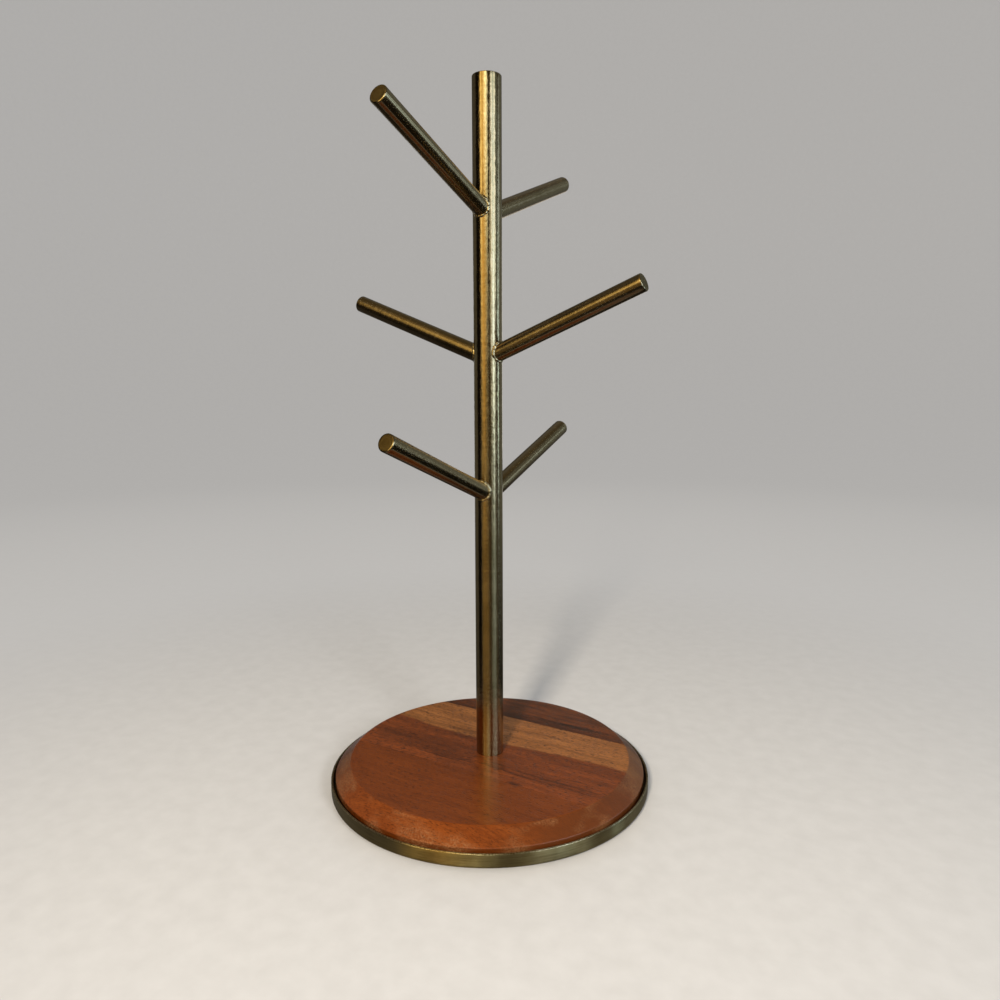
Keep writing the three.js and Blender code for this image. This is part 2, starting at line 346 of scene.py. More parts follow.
BRASS_DARK = (0.30, 0.23, 0.125)
BRASS_LIGHT = (0.42, 0.33, 0.205)
BRASS_WORN = (0.74, 0.62, 0.41)
BRASS_PITTED = (0.30, 0.23, 0.13)
WELD_LIGHT = (0.54, 0.44, 0.28)
FACE_TONES = (0.17, 0.12, 0.05), (0.30, 0.22, 0.10)
DISH_TONES = (0.19, 0.142, 0.062), (0.37, 0.292, 0.144)


def brass(name, tones=(BRASS_DARK, BRASS_LIGHT), roughness=0.2, anisotropy=0.0, relief=0.004 * MM):
    """Satin antique brass, polished in fine lines across the brush coordinate's third axis.

    relief is the height of its faint ripples. The roughness stays on one side of 0.27 all over
    a piece: the render's denoiser treats rougher metal differently, and draws the border as
    hair lines.
    """
    made, g = material(name)
    brush = g.attribute("brush")
    lines = g.noise(g.scaled(brush, (0.15, 0.15, 2.2)), detail=2.0, roughness=0.6)
    bands = g.noise(g.scaled(brush, (0.02, 0.02, 0.8)), detail=2.0, roughness=0.6)
    specks = g.noise(g.scaled(brush, (1.6, 1.6, 0.7)), detail=1.0, roughness=0.5)
    patina = g.noise(g.scaled(brush, (0.06, 0.06, 0.035)), detail=4.0, roughness=0.55)
    tone = g.math("ADD", g.math("MULTIPLY", lines, 0.25), g.math("MULTIPLY", patina, 0.45))
    tone = g.math("ADD", tone, g.math("MULTIPLY", bands, 0.3))
    colour = g.ramp(tone, [(0.36, tones[0]), (0.62, tones[1])])
    worn = g.math("MULTIPLY", g.attribute("wear", "Fac"), g.band(specks, 0.3, 0.6))
    colour = g.mix(worn, colour, BRASS_WORN)
    rough = g.band(lines, 0.3, 0.7, roughness - 0.03, roughness + 0.04)
    rough = g.math("ADD", rough, g.band(patina, 0.35, 0.65, -0.02, 0.02))
    ripple = g.noise(g.scaled(brush, (0.5, 0.5, 0.3)), detail=1.0, roughness=0.5)
    dashes = g.noise(g.scaled(brush, (1.3, 1.3, 0.22)), detail=1.0, roughness=0.5)
    height = g.math("ADD", g.math("MULTIPLY", ripple, 3.0), dashes)
    inputs = {
        "Base Color": colour, "Metallic": 1.0, "Roughness": rough,
        "Normal": g.bump(height, relief),
    }
    shader = g.node("BsdfPrincipled", inputs)
    if anisotropy:
        shader.inputs["Anisotropic"].default_value = anisotropy
        tangent = g.node("Tangent", direction_type="UV_MAP", uv_map="UVMap")
        g.feed(shader.inputs["Tangent"], tangent.outputs[0])
    g.finish(shader.outputs[0])
    return made


def weld_brass():
    """Plated weld metal: lumpy, brighter than the rods and dark in the hollows between ripples."""
    made, g = material("weld_brass")
    brush = g.attribute("brush")
    lumps = g.noise(g.scaled(brush, (0.7, 0.7, 0.7)), detail=2.0, roughness=0.5)
    grit = g.noise(g.scaled(brush, (2.5, 2.5, 2.5)), detail=2.0)
    colour = g.ramp(lumps, [(0.36, BRASS_PITTED), (0.46, WELD_LIGHT), (0.58, BRASS_WORN)])
    height = g.math("ADD", lumps, g.math("MULTIPLY", grit, 0.3))
    inputs = {
        "Base Color": colour, "Metallic": 1.0, "Roughness": g.band(grit, 0.3, 0.7, 0.29, 0.40),
        "Normal": g.bump(height, 0.05 * MM),
    }
    g.finish(g.node("BsdfPrincipled", inputs).outputs[0])
    return made


BRASS_POST = brass("brass_post", roughness=0.185, anisotropy=0.8, relief=0.028 * MM)
BRASS_ROD = brass("brass_rod", roughness=0.2, anisotropy=0.9, relief=0.002 * MM)
BRASS_FACE = brass("brass_face", FACE_TONES, roughness=0.42)
BRASS_DISH = brass("brass_dish", DISH_TONES, roughness=0.335, anisotropy=1.0, relief=0.003 * MM)
WELD = weld_brass()

# ---------------------------------------------------------------- plated steel and rubber


def zinc_steel():
    """Bright zinc plate, slightly mottled and blue-grey in the hollows."""
    made, g = material("zinc_steel")
    brush = g.attribute("brush")
    spangle = g.noise(g.scaled(brush, (0.7, 0.7, 0.7)), detail=3.0)
    lines = g.noise(g.scaled(brush, (0.5, 0.5, 5.0)), detail=2.0)
    colour = g.ramp(spangle, [(0.35, (0.34, 0.36, 0.38)), (0.65, (0.60, 0.61, 0.60))])
    inputs = {
        "Base Color": colour, "Metallic": 1.0, "Roughness": g.band(spangle, 0.3, 0.7, 0.28, 0.46),
        "Normal": g.bump(g.math("ADD", spangle, lines), 0.01 * MM),
    }
    g.finish(g.node("BsdfPrincipled", inputs).outputs[0])
    return made


def black_rubber():
    """Matte rubber with a fine leathery skin and dust in its hollows."""
    made, g = material("black_rubber")
    brush = g.attribute("brush")
    skin_grain = g.noise(g.scaled(brush, (2.2, 2.2, 2.2)), detail=3.0, roughness=0.7)
    dust = g.noise(g.scaled(brush, (0.25, 0.25, 0.25)), detail=4.0)
    colour = g.ramp(dust, [(0.4, (0.012, 0.012, 0.012)), (0.75, (0.035, 0.034, 0.032))])
    inputs = {
        "Base Color": colour, "Roughness": g.band(skin_grain, 0.3, 0.7, 0.72, 0.92),
        "Normal": g.bump(skin_grain, 0.08 * MM),
    }
    g.finish(g.node("BsdfPrincipled", inputs).outputs[0])
    return made


ZINC = zinc_steel()
RUBBER = black_rubber()

# ---------------------------------------------------------------- wood


class Board:
    """The noise fields of one lacquered board with its grain along X, and layers of colour."""

    def __init__(self, g, offset):
        self.g = g
        self.place_mm = g.scaled(g.node("TexCoord").outputs["Object"], (1 / MM, 1 / MM, 1 / MM))
        self.x, self.y, self.z = g.split(self.place_mm)
        self.at = g.moved(self.place_mm, (offset, offset * 0.7, 0.0))
        sway = g.noise(g.scaled(self.at, (0.012, 0.02, 0.02)), detail=2.0)
        self.sway_mm = g.math("MULTIPLY", g.math("SUBTRACT", sway, 0.5), 14.0)
        x, y, z = g.split(self.at)
        across = g.math("ADD", g.math("ADD", y, self.sway_mm), g.math("MULTIPLY", z, 0.55))
        grain = g.joined(x, across, z)
        self.growth = g.noise(g.scaled(grain, (0.007, 0.17, 0.05)), detail=5.0, roughness=0.62)
        self.figure = g.noise(
            g.scaled(grain, (0.022, 0.55, 0.2)), detail=3.0, roughness=0.6, distortion=0.4,
        )
        self.fibres = g.noise(g.scaled(grain, (0.07, 1.5, 0.9)), detail=3.0, roughness=0.6)
        self.cloud = g.noise(g.scaled(grain, (0.035, 0.05, 0.05)), detail=3.0)
        self.mottle = g.noise(g.scaled(grain, (0.35, 0.9, 0.9)), detail=3.0, roughness=0.65)
        self.pores = g.band(g.noise(g.scaled(grain, (0.40, 1.6, 1.6)), detail=1.0), 0.57, 0.68)
        self.flecks = g.noise(g.scaled(grain, (0.9, 1.3, 1.3)), detail=2.0, roughness=0.7)

    def heartwood(self, tones, contrast, sapwood):
        """The board's own colour, with paler sapwood behind a wavy edge if it has any."""
        g = self.g
        tone = g.math("ADD", g.math("MULTIPLY", self.growth, 0.32), g.math("MULTIPLY", self.fibres, 0.28))
        tone = g.math("ADD", tone, g.math("MULTIPLY", self.cloud, 0.14))
        tone = g.math("ADD", tone, g.math("MULTIPLY", self.mottle, 0.26))
        spread = 0.10 / contrast
        positions = (0.5 - spread, 0.5, 0.5 + spread)
        colour = g.ramp(tone, list(zip(positions, tones, strict=True)))
        if not sapwood:
            return colour
        edge_y, swing, sap_tones = sapwood
        wave = g.math("SINE", g.math("DIVIDE", g.math("SUBTRACT", self.x, 20.0), 27.0))
        edge = g.math("ADD", g.math("MULTIPLY", wave, swing), edge_y)
        ripple = g.noise(g.scaled(self.at, (0.12, 0.3, 0.3)), detail=3.0)
        edge = g.math("ADD", edge, g.math("MULTIPLY", g.math("SUBTRACT", ripple, 0.5), 3.0))
        sap_colour = g.ramp(tone, list(zip(positions, sap_tones, strict=True)))
        behind = g.band(g.math("SUBTRACT", self.y, edge), -1.1, 0.9)
        return g.mix(behind, colour, sap_colour)

    def marked(self, colour, marks, dark, light):
        """Streaks, knots and specks with ragged edges."""
        g = self.g
        lean = g.math("MULTIPLY", self.sway_mm, 0.12)
        ragged = g.math("ADD", self.figure, g.math("ADD", self.fibres, self.mottle))
        ragged = g.math("SUBTRACT", ragged, 1.5)
        for mark_x, mark_y, half_length, half_width, strength in marks:
            along = g.math("DIVIDE", g.math("SUBTRACT", self.x, mark_x), half_length)
            beside = g.math("SUBTRACT", g.math("ADD", self.y, lean), mark_y)
            beside = g.math("DIVIDE", beside, half_width)
            distance = g.length(g.joined(along, beside, 0.0))
            inside = g.band(g.math("ADD", distance, g.math("MULTIPLY", ragged, 1.6)), 1.15, 0.3)
            target = dark if strength > 0 else light
            colour = g.mix(g.math("MULTIPLY", inside, abs(strength)), colour, target)
        return colour

    def on_bevel(self):
        """1 on the bevel and outside it, 0 on the flat top."""
        radius = self.g.length(self.g.scaled(self.place_mm, (1, 1, 0)))
        edge = WOOD_TOP_RADIUS / MM
        return self.g.band(radius, edge - 0.5, edge + 0.7)

    def rubbed(self, bevel):
        """How far the bevel's lacquer is rubbed dull, in cloudy patches."""
        g = self.g
        haze_field = g.noise(g.scaled(self.place_mm, (0.045, 0.045, 0.09)), detail=3.0)
        scuff_field = g.noise(g.scaled(self.place_mm, (1.1, 1.1, 1.6)), detail=3.0, roughness=0.7)
        haze = g.math("MULTIPLY", g.band(haze_field, 0.44, 0.62), g.band(scuff_field, 0.35, 0.7))
        return g.math("MULTIPLY", haze, bevel)


def wood(name, offset, tones, contrast=1.0, marks=(), sapwood=None):
    """Lacquered acacia with its grain along X.

    tones are the dark, middle and light colours. Each mark is (X, Y, half length, half width,
    strength) in millimetres: a streak, knot or speck, or a lighter patch if strength is negative.
    sapwood is (Y of its wavy edge, how far the edge sways, colours).
    """
    made, g = material(name)
    board = Board(g, offset)
    dark = deep(tones[0])
    colour = board.heartwood(tones, contrast, sapwood)
    lined = g.band(board.figure, 0.52, 0.64)
    colour = g.mix(g.math("MULTIPLY", lined, 0.22 * contrast), colour, dark)
    colour = board.marked(colour, marks, dark, tones[2])
    colour = g.mix(g.math("MULTIPLY", board.pores, 0.62 * contrast), colour, dark)
    colour = g.mix(g.band(board.flecks, 0.5, 0.8, 0.0, 0.35), colour, dark)
    if not sapwood:
        colour = g.mix(g.band(board.flecks, 0.5, 0.2, 0.0, 0.35), colour, tones[2])
    # Painted shade: the wood's upright side below the bevel's foot, down in the narrow gap above the
    # dish's rim, is darkened most of the way to the wood's darkest tone.
    painted_shade_below_bevel = g.band(board.z, BEVEL_FOOT / MM + 0.1, BEVEL_FOOT / MM - 0.9)
    colour = g.mix(g.math("MULTIPLY", painted_shade_below_bevel, 0.7), colour, dark)
    bevel = board.on_bevel()
    across_fibres = g.band(g.math("ABSOLUTE", board.x), 35.0, 80.0)
    end_grain = g.math("MULTIPLY", g.math("MULTIPLY", bevel, across_fibres), 0.8)
    colour = g.mix(end_grain, colour, END_GRAIN)
    haze = board.rubbed(bevel)
    colour = g.mix(g.math("MULTIPLY", haze, 0.34), colour, SCUFFED)
    roughness = g.band(board.mottle, 0.3, 0.7, 0.30, 0.38)
    roughness = g.math("ADD", roughness, g.math("MULTIPLY", bevel, 0.06))
    roughness = g.math("ADD", roughness, g.math("MULTIPLY", haze, 0.15))
    height = g.math("SUBTRACT", g.math("MULTIPLY", board.fibres, 0.35), board.pores)
    height = g.math("ADD", height, g.math("MULTIPLY", haze, 0.4))
    inputs = {
        "Base Color": colour, "Roughness": roughness, "Normal": g.bump(height, 0.03 * MM),
        "Specular IOR Level": 0.35, "Coat Weight": 0.34, "Coat Roughness": 0.17,
    }
    g.finish(g.node("BsdfPrincipled", inputs).outputs[0])
    return made


def deep(colour):
    """The near-black brown of a streak or pore in wood of that colour."""
    return tuple(0.3 * channel for channel in colour)


RED_BROWN = ((0.124, 0.025, 0.002), (0.156, 0.033, 0.003), (0.194, 0.043, 0.004))
STREAKED = ((0.105, 0.025, 0.006), (0.170, 0.038, 0.006), (0.245, 0.055, 0.009))
PALE = ((0.205, 0.074, 0.018), (0.295, 0.108, 0.027), (0.385, 0.148, 0.040))
DARK = ((0.050, 0.013, 0.003), (0.105, 0.025, 0.004), (0.175, 0.043, 0.008))
END_GRAIN = (0.080, 0.022, 0.005)
SCUFFED = (0.36, 0.19, 0.080)  # where the lacquer on the bevel is rubbed

CENTRE_MARKS = [
    (-45, 5, 34, 4.0, 0.30),  # the darker zone just inside the heartwood
    (48, 5, 36, 3.2, 0.20),
    (-36, -9, 56, 12.0, 0.33),  # the broad dark band before the post
    (-22, -16.5, 30, 3.4, 0.36),
    (-14, -18.5, 16, 0.9, 0.60),
    (14, -15.5, 10, 4.0, 0.50),
    (48, -16.0, 42, 4.5, 0.28),
    (48, -14.5, 34, 1.0, 0.55),
    (45, -18.0, 34, 0.9, 0.50),
    (-18, -20.6, 26, 0.8, 0.65),
    (-50, -9.5, 24, 0.7, 0.40),
    (62, -8.5, 20, 0.6, 0.35),
    (-53, -4.6, 3.4, 1.0, 0.85),
    (33, -28.3, 4.6, 2.0, 0.75),  # a small knot, cut by the joint
    (33, -28.5, 1.6, 0.8, 0.90),
    (-48, -28.5, 32, 0.45, 0.75),  # the glue line
    (25, 22, 0.8, 0.7, 0.80),  # specks and fine lines in the sapwood
    (52, 27, 32, 0.5, 0.22),
    (42, 36, 38, 0.7, 0.18),
    (-32, 31, 34, 0.9, 0.14),
    (30, 43, 50, 0.5, 0.16),
]
FRONT_MARKS = [
    (33, -28.3, 4.6, 2.0, 0.75),
    (-48, -28.5, 32, 0.45, 0.75),
    (-21, -42, 0.9, 0.8, 0.75),
    (50, -35, 0.9, 0.5, 0.60),
    (54, -31, 0.8, 0.4, 0.50),
    (45, -52, 30, 1.2, 0.12),
    (-30, -60, 40, 1.5, 0.08),
]
BACK_MARKS = [
    (22, 55, 40, 3.4, 0.70),
    (32, 55.3, 26, 2.0, 0.95),
    (0, 49.2, 90, 1.4, 0.65),
    (-46, 56, 18, 5.0, 0.45),
    (6, 61, 44, 0.8, 0.40),
    (34, 66, 26, 0.8, 0.35),
    (30, 72, 26, 1.2, 0.35),
    (8, 68, 13, 3.5, -0.5),
    (44, 62, 20, 2.0, -0.35),
]

WOOD_FRONT = wood("wood_front", 310.0, RED_BROWN, contrast=1.0, marks=FRONT_MARKS)
WOOD_CENTRE = wood(
    "wood_centre", 120.0, STREAKED, contrast=1.25, marks=CENTRE_MARKS, sapwood=(13.7, 2.9, PALE)
)
WOOD_BACK = wood("wood_back", 530.0, DARK, contrast=1.45, marks=BACK_MARKS)

# ---------------------------------------------------------------- base dish


def dish():
    """The pressed dish: flat floor, raised pocket for the bolt's head, rounded corner, short wall."""
    inner = DISH_RADIUS - DISH_SHEET
    rim_round, ceiling_round, mouth_round = 0.45 * MM, 0.5 * MM, 1.2 * MM
    corner_r, corner_z = DISH_RADIUS - DISH_CORNER, DISH_BASE + DISH_CORNER
    floor_top = DISH_BASE + DISH_SHEET
    under_pocket = POCKET_TOP - DISH_SHEET
    outline = [
        (BOLT_HOLE, under_pocket),
        *fillet((BOLT_HOLE, under_pocket), (POCKET_RADIUS - POCKET_DRAFT, under_pocket),
                (POCKET_RADIUS, DISH_BASE), ceiling_round),
        *fillet((POCKET_RADIUS, under_pocket), (POCKET_RADIUS, DISH_BASE),
                (corner_r, DISH_BASE), mouth_round),
        (corner_r - 3 * MM, DISH_BASE),
        *arc(corner_r, corner_z, DISH_CORNER, -90, 0, 10),
        (DISH_RADIUS, DISH_RIM - 3 * MM),
        *arc(DISH_RADIUS - rim_round, DISH_RIM - rim_round, rim_round, 0, 90, 5),
        *arc(inner + rim_round, DISH_RIM - rim_round, rim_round, 90, 180, 5),
        (inner, DISH_RIM - 3 * MM),
        *arc(corner_r, corner_z, DISH_CORNER - DISH_SHEET, 0, -90, 5),
        (corner_r - 3 * MM, floor_top),
        (POCKET_RADIUS + DISH_SHEET, floor_top),
        (POCKET_RADIUS + DISH_SHEET - POCKET_DRAFT, POCKET_TOP - ceiling_round),
        (POCKET_RADIUS + DISH_SHEET - POCKET_DRAFT - ceiling_round, POCKET_TOP),
        (BOLT_HOLE, POCKET_TOP),
    ]
    rim_points = [i for i, (r, z) in enumerate(outline) if z > DISH_RIM - rim_round and r > inner]
    mesh = turned("dish", outline, 256, worn=rim_points)
    place("dish", mesh, [BRASS_DISH], "base_dish")


# ---------------------------------------------------------------- wooden staves


def wood_outline(with_hole):
    """The outline of the whole wooden disc, with softened edges."""
    base_corner, foot = (WOOD_RADIUS, WOOD_BASE), (WOOD_RADIUS, BEVEL_FOOT)
    arris = (WOOD_TOP_RADIUS, WOOD_TOP)
    upper = [
        *fillet((0, WOOD_BASE), base_corner, foot, WOOD_FOOT_ROUND, 3),
        (WOOD_RADIUS, BEVEL_FOOT - 1.5 * MM),
        *fillet(base_corner, foot, arris, BEVEL_FOOT_ROUND),
        *fillet(foot, arris, (0, WOOD_TOP), TOP_ARRIS_ROUND),
        (WOOD_TOP_RADIUS - 3 * MM, WOOD_TOP),
    ]
    if not with_hole:
        return [(0, WOOD_BASE), (WOOD_RADIUS - 3 * MM, WOOD_BASE), *upper, (0, WOOD_TOP)]
    counterbore = POCKET_RADIUS + DISH_SHEET + POCKET_CLEARANCE
    ceiling = POCKET_TOP + POCKET_CLEARANCE
    return [
        (BOLT_HOLE, ceiling),
        (counterbore, ceiling),
        (counterbore, WOOD_BASE),
        (WOOD_RADIUS - 3 * MM, WOOD_BASE),
        *upper,
        (BOLT_HOLE, WOOD_TOP),
    ]


def stave(where, front_y, back_y, finish, with_hole=False):
    """One stave: the whole disc, cut along Y on one or both sides and closed with flat faces."""
    mesh = turned("stave_" + where, wood_outline(with_hole), 240, loop=with_hole)
    cut = bmesh.new()
    cut.from_mesh(mesh)
    for y, outward in ((front_y, -1), (back_y, 1)):
        if y is None:
            continue
        everything = cut.verts[:] + cut.edges[:] + cut.faces[:]
        place_y = y - outward * SEAM
        result = bmesh.ops.bisect_plane(
            cut, geom=everything, plane_co=(0, place_y, 0), plane_no=(0, outward, 0), clear_outer=True,
        )
        rim_edges = [e for e in result["geom_cut"] if isinstance(e, bmesh.types.BMEdge)]
        bmesh.ops.contextual_create(cut, geom=rim_edges)
    bmesh.ops.recalc_face_normals(cut, faces=cut.faces[:])
    cut.to_mesh(mesh)
    cut.free()
    place("stave_" + where, mesh, [finish], "wood_stave_" + where)


# ---------------------------------------------------------------- feet and clamp bolt


def foot_pads():
    """Four rubber discs with softened edges, each where its CAD node lies."""
    for where in ("back_right", "back_left", "front_left", "front_right"):
        node = "foot_pad_" + where
        low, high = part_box(node)
        radius = (high.x - low.x) / 2
        soft = 0.3 * MM
        outline = [
            (0, low.z + 0.05 * MM),
            (radius * 0.8, low.z),
            *arc(radius - soft, low.z + soft, soft, -90, 0, 4),
            *arc(radius - soft, high.z - soft, soft, 0, 90, 4),
            (radius * 0.8, high.z),
            (0, high.z),
        ]
        mesh = turned(node, outline, 48, loop=False)
        mesh.transform(Matrix.Translation(((low.x + high.x) / 2, (low.y + high.y) / 2, 0)))
        place("pad_" + where, mesh, [RUBBER], node)


def clamp_bolt():
    """A button-head bolt: hexagon socket below, helical thread above."""
    sides = 48
    least_head, crown_round = 3 * MM, 2.2 * MM
    across_flats, socket_depth = 4 * MM, 2 * MM
    thread_start, end_taper, end_inset = 2 * MM, 0.8 * MM, 0.7 * MM
    step = 2 * math.pi / sides
    bearing = min(
        v.co.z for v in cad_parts["clamp_bolt"].data.vertices
        if v.co.z > BOLT_LOW.z + least_head
    )

    def socket_ring(shrink, z):
        points = []
        for i in range(sides):
            angle = i * step
            to_flat = (angle + math.pi / 6) % (math.pi / 3) - math.pi / 6
            r = shrink * across_flats / 2 / math.cos(to_flat)
            points.append(Vector((r * math.cos(angle), r * math.sin(angle), z)))
        return points

    def thread_ring(z):
        points = []
        to_end = min(1.0, (BOLT_HIGH.z - z) / end_taper)
        fade = min(to_end, (z - bearing) / thread_start)
        for i in range(sides):
            phase = (z / BOLT_PITCH - i / sides) % 1.0
            depth = THREAD_DEPTH * min(1.0, max(0.0, 2.4 * abs(phase - 0.5) - 0.1))
            r = BOLT_RADIUS - depth * fade - (1 - to_end) * end_inset
            points.append(Vector((r * math.cos(i * step), r * math.sin(i * step), z)))
        return points

    head = BOLT_LOW.z
    rings = [
        [Vector((0, 0, head + socket_depth + 0.3 * MM))],
        socket_ring(0.98, head + socket_depth),
        socket_ring(1.0, head + socket_depth - 0.1 * MM),
        socket_ring(1.0, head + 0.15 * MM),
        socket_ring(1.07, head),
    ]
    crown = BOLT_HEAD_RADIUS - crown_round
    head_outline = [(crown, head)]
    head_outline += arc(crown, head + crown_round, crown_round, -80, 0, 8)
    head_outline += [(BOLT_HEAD_RADIUS, bearing), (BOLT_RADIUS, bearing)]
    rings += [circle(r, z, sides) for r, z in head_outline]
    rings_a_turn = 8
    steps = int((BOLT_HIGH.z - bearing) / BOLT_PITCH * rings_a_turn)
    rings += [thread_ring(bearing + (BOLT_HIGH.z - bearing) * i / steps) for i in range(1, steps + 1)]
    rings.append([Vector((0, 0, BOLT_HIGH.z))])
    place("clamp_bolt_m6", skin("clamp_bolt_m6", rings), [ZINC], "clamp_bolt")


def washers():
    """A flat washer with rolled edges, and a split spring washer whose ends stand apart."""
    low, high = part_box("flat_washer")
    outer, soft = rim("flat_washer"), 0.25 * MM
    outline = [
        *arc(outer - soft, low.z + soft, soft, -90, 0, 3),
        *arc(outer - soft, high.z - soft, soft, 0, 90, 3),
        (BOLT_HOLE, high.z),
        (BOLT_HOLE, low.z),
    ]
    place("washer_flat", turned("washer_flat", outline, 64), [ZINC], "flat_washer")

    low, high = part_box("spring_washer")
    outer = rim("spring_washer")
    steps, slot_half = 60, 0.5 * MM / outer
    twist = 0.2 * MM
    under, over = low.z + twist, high.z - twist
    corners = [(BOLT_HOLE, under), (outer, under), (outer, over), (BOLT_HOLE, over)]
    rings = []
    for i in range(steps + 1):
        share = i / steps
        angle = math.pi / 2 + slot_half + share * (2 * math.pi - 2 * slot_half)
        lift = twist * (2 * share - 1)
        rings.append([Vector((r * math.cos(angle), r * math.sin(angle), z + lift)) for r, z in corners])
    middle = [sum(ring, Vector()) / len(ring) for ring in (rings[0], rings[-1])]
    rings = [[middle[0]], *rings, [middle[1]]]
    mesh = skin("washer_spring", rings)
    place("washer_spring", mesh, [ZINC], "spring_washer")


# ---------------------------------------------------------------- post


def post():
    """The tube with a softened upper edge, the disc that closes it and the threaded plug in its foot."""
    foot = WOOD_TOP + SEAM
    outline = [
        (POST_RADIUS, foot + 0.1 * MM),
        (POST_RADIUS, foot + 3 * MM),
        (POST_RADIUS, POST_TOP - 3 * MM),
        *arc(POST_RADIUS - POST_TOP_ROUND, POST_TOP - POST_TOP_ROUND, POST_TOP_ROUND, 0, 90, 5),
        (BORE_RADIUS + 0.1 * MM, POST_TOP),
        (BORE_RADIUS, POST_TOP - 0.1 * MM),
        (BORE_RADIUS, foot),
        (POST_RADIUS - 0.1 * MM, foot),
    ]
    round_end = 3 + 5  # the index in the outline where the rounded edge ends
    mesh = turned("post", outline, 192, worn=(round_end - 2, round_end - 1))
    place("post", mesh, [BRASS_POST], "post_tube")

    edge = BORE_RADIUS - SEAM
    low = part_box("post_top_cap")[0].z
    top = POST_TOP - CAP_INSET
    soft = 0.15 * MM
    outline = [(0, low), (edge, low), *arc(edge - soft, top - soft, soft, 0, 90, 3), (0, top)]
    mesh = turned("post_cap", outline, 128, loop=False)
    place("post_cap", mesh, [BRASS_FACE], "post_top_cap")

    low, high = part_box("post_foot_nut")
    outer, chamfer = rim("post_foot_nut"), 0.5 * MM
    outline = [
        (outer - chamfer, low.z),
        (outer, low.z + chamfer),
        (outer, high.z - chamfer),
        (outer - chamfer, high.z),
        (BOLT_HOLE + chamfer, high.z),
        (BOLT_HOLE, high.z - chamfer),
        (BOLT_HOLE, low.z + chamfer),
        (BOLT_HOLE + chamfer, low.z),
    ]
    place("foot_nut", turned("foot_nut", outline, 64), [ZINC], "post_foot_nut")


# ---------------------------------------------------------------- arms

# Arms and welds are worked out with the post's axis on Z and the arm rising towards +X, and
# are then turned and lifted to their places.
ALONG_ARM = Vector((math.cos(ARM_RISE), 0, math.sin(ARM_RISE)))
ABOVE_ARM = Vector((-math.sin(ARM_RISE), 0, math.cos(ARM_RISE)))
ACROSS_ARM = Vector((0, 1, 0))
PATTERN_STEP = Vector((31.0, 17.0, 53.0))  # moves the texture on, so that no two arms are alike
TIP_WEAR = 0.35


def seam_point(angle, radius=ARM_RADIUS):
    """A point where a rod of that radius, on the arm's axis, meets the post's surface."""
    across, above = radius * math.cos(angle), radius * math.sin(angle)
    outward = math.sqrt((POST_RADIUS + SEAM) ** 2 - across**2)
    along = (outward + above * math.sin(ARM_RISE)) / math.cos(ARM_RISE)
    return ALONG_ARM * along + ABOVE_ARM * above + ACROSS_ARM * across


def to_place(tier, turn_degrees):
    """Lifts an arm to its tier and turns it round the post."""
    return Matrix.Translation((0, 0, LOWEST_TIER + tier * TIER_SPACING)) @ Matrix.Rotation(
        math.radians(turn_degrees), 4, "Z"
    )


def rod_ring(along, radius, sides):
    """Points round the arm's axis, or the one point on it when the radius is 0."""
    step = 2 * math.pi / sides
    middle = ALONG_ARM * along
    if radius == 0:
        return [middle]
    return [
        middle + ACROSS_ARM * radius * math.cos(i * step) + ABOVE_ARM * radius * math.sin(i * step)
        for i in range(sides)
    ]


def arm(name, matrix, number):
    """A rod fitted round the post at its root, with a flat tip whose edge is slightly rounded."""
    sides = 96
    step = 2 * math.pi / sides
    root = [[seam_point(0, 0)]]
    for share in (0.35, 0.7, 1.0):
        root.append([seam_point(i * step, ARM_RADIUS * share) for i in range(sides)])
    clear_of_post = 12 * MM
    outline = [(clear_of_post, ARM_RADIUS), (ARM_REACH - 3 * MM, ARM_RADIUS)]
    tip = arc(ARM_RADIUS - ARM_TIP_ROUND, ARM_REACH - ARM_TIP_ROUND, ARM_TIP_ROUND, 0, 90, 6)
    outline += [(along, radius) for radius, along in tip]
    first_face = len(root) + len(outline) - 1
    outline += [(ARM_REACH, ARM_RADIUS * 0.75), (ARM_REACH, 0)]
    rings = root + [rod_ring(along, radius, sides) for along, radius in outline]
    slots = [1 if i >= first_face else 0 for i in range(len(rings))]
    brush, wear = [], []
    for i, ring in enumerate(rings):
        rounded = first_face - 5 <= i < first_face
        for p in ring:
            across, above = p.dot(ACROSS_ARM), p.dot(ABOVE_ARM)
            stroke = p.dot(ALONG_ARM) + ARM_RADIUS - math.hypot(across, above)
            brush.append(Vector((across, above, stroke)) / MM + PATTERN_STEP * number)
            wear.append(TIP_WEAR if rounded else 0.0)
    mesh = skin(name, [[matrix @ p for p in ring] for ring in rings], False, slots, wear, brush)
    place("rod_" + name, mesh, [BRASS_ROD, BRASS_FACE], "arm_" + name)


